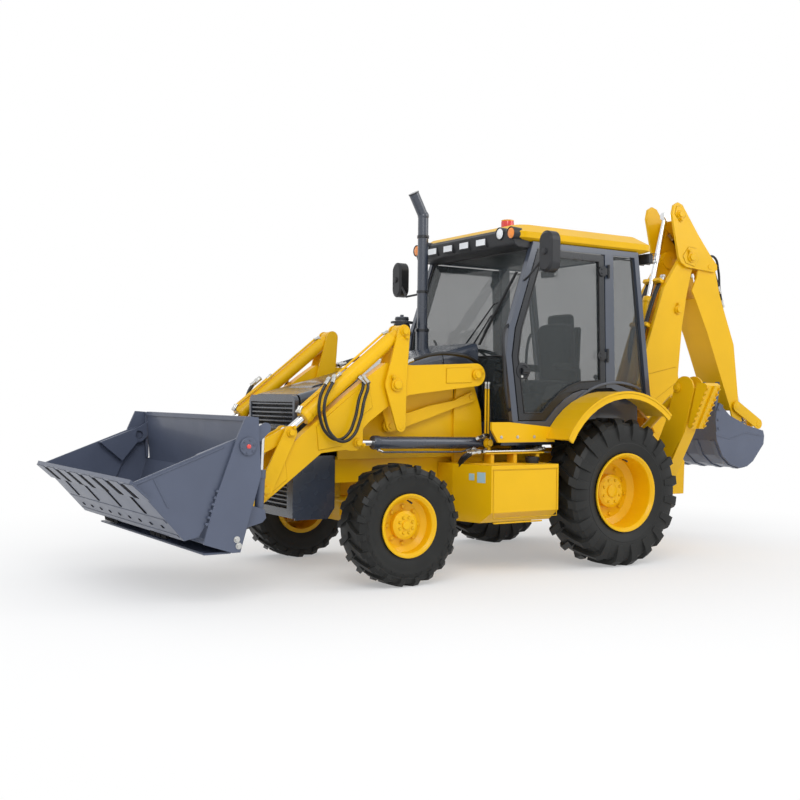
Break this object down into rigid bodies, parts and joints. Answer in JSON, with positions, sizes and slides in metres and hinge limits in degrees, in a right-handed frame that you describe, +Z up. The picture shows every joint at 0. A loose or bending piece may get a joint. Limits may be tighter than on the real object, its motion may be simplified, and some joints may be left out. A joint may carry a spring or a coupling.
{
  "type": "backhoe loader",
  "caption": "Rigid-frame backhoe loader with a four-in-one front bucket, glazed cab, slewing rear digger, folding stabilisers and steered front wheels.",
  "frame": {"origin": "on the ground under the middle of the whole machine", "axes": "+X forward to the loader bucket, +Y to the machine's left, +Z up"},
  "size_m": [7.248, 2.5, 3.432],
  "materials": {
    "yellow_paint": "gloss",
    "dark_grey_paint": "satin",
    "bucket_paint": "satin",
    "cab_grey_paint": "gloss",
    "black_paint": "satin",
    "chrome_rod": "polished",
    "tyre_rubber": "matt",
    "tinted_glass": "clear",
    "seat_cloth": "matt",
    "black_plastic": "matt"
  },
  "bodies": {
    "chassis": {"main_frame": "yellow_paint", "rear_frame": "yellow_paint", "mirrors": "black_plastic", "engine": "dark_grey_paint", "nose_panels": "dark_grey_paint", "axles": "yellow_paint", "side_tanks": "yellow_paint", "fenders": "yellow_paint", "cab_frame": "cab_grey_paint", "cab_roof": "yellow_paint", "cab_glass": "tinted_glass", "seat": "seat_cloth", "controls": "black_plastic"},
    "hood": {"hood": "dark_grey_paint"},
    "steering_rod": {"steering_rod": "black_paint"},
    "loader_arms": {"loader_arms": "yellow_paint", "level_levers": "yellow_paint"},
    "level_links": {"level_links": "yellow_paint"},
    "lift_barrels": {"lift_barrels": "dark_grey_paint"},
    "lift_rods": {"lift_rods": "chrome_rod"},
    "tilt_barrels": {"tilt_barrels": "yellow_paint"},
    "tilt_rods": {"tilt_rods": "chrome_rod"},
    "tipping_levers": {"tipping_levers": "yellow_paint"},
    "tipping_links": {"tipping_links": "yellow_paint"},
    "loader_bucket": {"loader_bucket": "bucket_paint"},
    "clam": {"clam": "bucket_paint"},
    "clam_barrels": {"clam_barrels": "bucket_paint"},
    "clam_rods": {"clam_rods": "chrome_rod"},
    "swing_post": {"swing_post": "yellow_paint"},
    "boom": {"boom": "yellow_paint"},
    "dipper": {"dipper": "yellow_paint"},
    "boom_barrel": {"boom_barrel": "yellow_paint"},
    "boom_rod": {"boom_rod": "chrome_rod"},
    "dipper_barrel": {"dipper_barrel": "yellow_paint"},
    "dipper_rod": {"dipper_rod": "chrome_rod"},
    "bucket_barrel": {"bucket_barrel": "yellow_paint"},
    "bucket_rod": {"bucket_rod": "chrome_rod"},
    "digger_levers": {"digger_levers": "yellow_paint"},
    "digger_link": {"digger_link": "yellow_paint"},
    "digger_bucket": {"digger_bucket": "bucket_paint"},
    "door_left": {"door_left": "black_paint", "door_glass_left": "tinted_glass"},
    "knuckle_left": {"knuckle_left": "yellow_paint"},
    "wheel_front_left": {"rim_front_left": "yellow_paint", "tyre_front_left": "tyre_rubber"},
    "wheel_rear_left": {"rim_rear_left": "yellow_paint", "tyre_rear_left": "tyre_rubber"},
    "door_right": {"door_right": "black_paint", "door_glass_right": "tinted_glass"},
    "knuckle_right": {"knuckle_right": "yellow_paint"},
    "wheel_front_right": {"rim_front_right": "yellow_paint", "tyre_front_right": "tyre_rubber"},
    "wheel_rear_right": {"rim_rear_right": "yellow_paint", "tyre_rear_right": "tyre_rubber"},
    "stabiliser_left": {"stabiliser_left": "yellow_paint"},
    "stabiliser_barrel_left": {"stabiliser_barrel_left": "yellow_paint"},
    "stabiliser_rod_left": {"stabiliser_rod_left": "chrome_rod"},
    "stabiliser_right": {"stabiliser_right": "yellow_paint"},
    "stabiliser_barrel_right": {"stabiliser_barrel_right": "yellow_paint"},
    "stabiliser_rod_right": {"stabiliser_rod_right": "chrome_rod"}
  },
  "joints": [
    {"name": "hood_hinge", "type": "hinge", "parent": "chassis", "child": "hood", "pos_m": [2.008, 0, 1.438], "axis": [0, 1, 0], "range_deg": [0, 55]},
    {"name": "door_left_hinge", "type": "hinge", "parent": "chassis", "child": "door_left", "pos_m": [-0.84, 0.786, 2.2], "axis": [0, 0, 1], "range_deg": [0, 95]},
    {"name": "steer_left", "type": "hinge", "parent": "chassis", "child": "knuckle_left", "pos_m": [1.4, 0.78, 0.465], "axis": [0, 0, 1], "range_deg": [-40, 40]},
    {"name": "wheel_front_left_spin", "type": "hinge", "parent": "knuckle_left", "child": "wheel_front_left", "pos_m": [1.4, 0.885, 0.465], "axis": [0, 1, 0], "continuous": true},
    {"name": "wheel_rear_left_spin", "type": "hinge", "parent": "chassis", "child": "wheel_rear_left", "pos_m": [-0.8, 0.875, 0.64], "axis": [0, 1, 0], "continuous": true},
    {"name": "door_right_hinge", "type": "hinge", "parent": "chassis", "child": "door_right", "pos_m": [-0.84, -0.786, 2.2], "axis": [0, 0, -1], "range_deg": [0, 95]},
    {"name": "steer_right", "type": "hinge", "parent": "chassis", "child": "knuckle_right", "pos_m": [1.4, -0.78, 0.465], "axis": [0, 0, 1], "range_deg": [-40, 40]},
    {"name": "wheel_front_right_spin", "type": "hinge", "parent": "knuckle_right", "child": "wheel_front_right", "pos_m": [1.4, -0.885, 0.465], "axis": [0, 1, 0], "continuous": true},
    {"name": "wheel_rear_right_spin", "type": "hinge", "parent": "chassis", "child": "wheel_rear_right", "pos_m": [-0.8, -0.875, 0.64], "axis": [0, 1, 0], "continuous": true},
    {"name": "steering_rod_slide", "type": "slide", "parent": "chassis", "child": "steering_rod", "axis": [0, 1, 0], "range_m": [-0.042, 0.042]},
    {"name": "loader_lift", "type": "hinge", "parent": "chassis", "child": "loader_arms", "pos_m": [0.496, 0, 1.636], "axis": [0, -1, 0], "range_deg": [-5, 74]},
    {"name": "level_link_hinge", "type": "hinge", "parent": "chassis", "child": "level_links", "pos_m": [0.445, 0, 1.45], "axis": [0, -1, 0], "range_deg": [-5.49, 67.51]},
    {"name": "lift_barrel_hinge", "type": "hinge", "parent": "chassis", "child": "lift_barrels", "pos_m": [0.37, 0, 1.065], "axis": [0, -1, 0], "range_deg": [-4.81, 57.45]},
    {"name": "lift_rod_slide", "type": "slide", "parent": "lift_barrels", "child": "lift_rods", "axis": [0.9999, 0, 0.015], "range_m": [-0.04102, 0.5381]},
    {"name": "bucket_tilt", "type": "hinge", "parent": "loader_arms", "child": "loader_bucket", "pos_m": [2.64, 0, 0.603], "axis": [0, 1, 0], "range_deg": [0, 110]},
    {"name": "tipping_lever_hinge", "type": "hinge", "parent": "loader_arms", "child": "tipping_levers", "pos_m": [2.435, 0, 0.747], "axis": [0, 1, 0], "range_deg": [-1, 96.33]},
    {"name": "tipping_link_hinge", "type": "hinge", "parent": "tipping_levers", "child": "tipping_links", "pos_m": [2.23, 0, 1.167], "axis": [0, 1, 0], "range_deg": [-47.76, 1]},
    {"name": "tilt_barrel_hinge", "type": "hinge", "parent": "loader_arms", "child": "tilt_barrels", "pos_m": [1.232, 0, 1.966], "axis": [0, -1, 0], "range_deg": [-1, 6.96]},
    {"name": "tilt_rod_slide", "type": "slide", "parent": "tilt_barrels", "child": "tilt_rods", "axis": [0.7806, 0, -0.625], "range_m": [-0.005, 0.67618]},
    {"name": "clam_hinge", "type": "hinge", "parent": "loader_bucket", "child": "clam", "pos_m": [2.795, 0, 1.095], "axis": [0, -1, 0], "range_deg": [0, 65]},
    {"name": "clam_barrel_hinge", "type": "hinge", "parent": "loader_bucket", "child": "clam_barrels", "pos_m": [2.655, 0, 0.585], "axis": [0, -1, 0], "range_deg": [-1, 4.32]},
    {"name": "clam_rod_slide", "type": "slide", "parent": "clam_barrels", "child": "clam_rods", "axis": [-0.0395, 0, 0.9992], "range_m": [-0.22351, 0.005]},
    {"name": "digger_swing", "type": "hinge", "parent": "chassis", "child": "swing_post", "pos_m": [-2.18, 0, 0.6], "axis": [0, 0, 1], "range_deg": [-90, 90]},
    {"name": "digger_boom", "type": "hinge", "parent": "swing_post", "child": "boom", "pos_m": [-2.37, 0, 0.8], "axis": [0, -1, 0], "range_deg": [0, 130]},
    {"name": "boom_barrel_hinge", "type": "hinge", "parent": "swing_post", "child": "boom_barrel", "pos_m": [-2.12, 0, 1], "axis": [0, -1, 0], "range_deg": [-1, 120.31]},
    {"name": "boom_rod_slide", "type": "slide", "parent": "boom_barrel", "child": "boom_rod", "axis": [-0.1816, 0, 0.9834], "range_m": [-0.005, 0.5022]},
    {"name": "digger_dipper", "type": "hinge", "parent": "boom", "child": "dipper", "pos_m": [-2.517, 0, 2.893], "axis": [0, 1, 0], "range_deg": [0, 120]},
    {"name": "dipper_barrel_hinge", "type": "hinge", "parent": "boom", "child": "dipper_barrel", "pos_m": [-1.86, 0, 1.45], "axis": [0, -1, 0], "range_deg": [-1, 5.72]},
    {"name": "dipper_rod_slide", "type": "slide", "parent": "dipper_barrel", "child": "dipper_rod", "axis": [-0.2521, 0, 0.9677], "range_m": [-0.77989, 0.005]},
    {"name": "digger_bucket_hinge", "type": "hinge", "parent": "dipper", "child": "digger_bucket", "pos_m": [-3.3, 0, 1.17], "axis": [0, 1, 0], "range_deg": [0, 150]},
    {"name": "digger_lever_hinge", "type": "hinge", "parent": "dipper", "child": "digger_levers", "pos_m": [-3.237, 0, 1.382], "axis": [0, 1, 0], "range_deg": [-1, 109.19]},
    {"name": "digger_link_hinge", "type": "hinge", "parent": "digger_levers", "child": "digger_link", "pos_m": [-3.57, 0, 1.2], "axis": [0, 1, 0], "range_deg": [-78.27, 1]},
    {"name": "bucket_barrel_hinge", "type": "hinge", "parent": "dipper", "child": "bucket_barrel", "pos_m": [-2.798, 0, 2.816], "axis": [0, -1, 0], "range_deg": [-1.05, 1]},
    {"name": "bucket_rod_slide", "type": "slide", "parent": "bucket_barrel", "child": "bucket_rod", "axis": [-0.4311, 0, -0.9023], "range_m": [-0.61976, 0.005]},
    {"name": "stabiliser_left_hinge", "type": "hinge", "parent": "chassis", "child": "stabiliser_left", "pos_m": [-1.67, 0.53, 0.6], "axis": [-1, 0, 0], "range_deg": [0, 100]},
    {"name": "stabiliser_barrel_left_hinge", "type": "hinge", "parent": "chassis", "child": "stabiliser_barrel_left", "pos_m": [-1.67, 0.12, 0.92], "axis": [-1, 0, 0], "range_deg": [-1, 73.76]},
    {"name": "stabiliser_rod_left_slide", "type": "slide", "parent": "stabiliser_barrel_left", "child": "stabiliser_rod_left", "axis": [0, 0.7731, 0.6343], "range_m": [-0.005, 0.54247]},
    {"name": "stabiliser_right_hinge", "type": "hinge", "parent": "chassis", "child": "stabiliser_right", "pos_m": [-1.67, -0.53, 0.6], "axis": [1, 0, 0], "range_deg": [0, 100]},
    {"name": "stabiliser_barrel_right_hinge", "type": "hinge", "parent": "chassis", "child": "stabiliser_barrel_right", "pos_m": [-1.67, -0.12, 0.92], "axis": [1, 0, 0], "range_deg": [-1, 73.76]},
    {"name": "stabiliser_rod_right_slide", "type": "slide", "parent": "stabiliser_barrel_right", "child": "stabiliser_rod_right", "axis": [0, -0.7731, 0.6343], "range_m": [-0.005, 0.54247]}
  ],
  "couplings": [
    {"joint": "steer_right", "follows": "steer_left", "ratio": 1},
    {"joint": "steering_rod_slide", "follows": "steer_left", "m_per_rad": 0.053402},
    {"joint": "level_link_hinge", "follows": "loader_lift", "ratio": 0.89873},
    {"joint": "lift_barrel_hinge", "follows": "loader_lift", "ratio": 0.76287},
    {"joint": "lift_rod_slide", "follows": "loader_lift", "m_per_rad": 0.41276},
    {"joint": "tipping_lever_hinge", "follows": "bucket_tilt", "ratio": 0.86662},
    {"joint": "tipping_link_hinge", "follows": "bucket_tilt", "ratio": -0.42512},
    {"joint": "tilt_barrel_hinge", "follows": "bucket_tilt", "ratio": 0.054172},
    {"joint": "tilt_rod_slide", "follows": "bucket_tilt", "m_per_rad": 0.3496},
    {"joint": "clam_barrel_hinge", "follows": "clam_hinge", "ratio": 0.051098},
    {"joint": "clam_rod_slide", "follows": "clam_hinge", "m_per_rad": -0.19261},
    {"joint": "boom_barrel_hinge", "follows": "digger_boom", "ratio": 0.91777},
    {"joint": "boom_rod_slide", "follows": "digger_boom", "m_per_rad": 0.21913},
    {"joint": "dipper_barrel_hinge", "follows": "digger_dipper", "ratio": 0.039301},
    {"joint": "dipper_rod_slide", "follows": "digger_dipper", "m_per_rad": -0.36999},
    {"joint": "digger_lever_hinge", "follows": "digger_bucket_hinge", "ratio": 0.72125},
    {"joint": "digger_link_hinge", "follows": "digger_bucket_hinge", "ratio": -0.51513},
    {"joint": "bucket_barrel_hinge", "follows": "digger_bucket_hinge", "ratio": -0.000347},
    {"joint": "bucket_rod_slide", "follows": "digger_bucket_hinge", "m_per_rad": -0.23482},
    {"joint": "stabiliser_barrel_left_hinge", "follows": "stabiliser_left_hinge", "ratio": 0.7276},
    {"joint": "stabiliser_rod_left_slide", "follows": "stabiliser_left_hinge", "m_per_rad": 0.30795},
    {"joint": "stabiliser_barrel_right_hinge", "follows": "stabiliser_right_hinge", "ratio": 0.7276},
    {"joint": "stabiliser_rod_right_slide", "follows": "stabiliser_right_hinge", "m_per_rad": 0.30795}
  ]
}
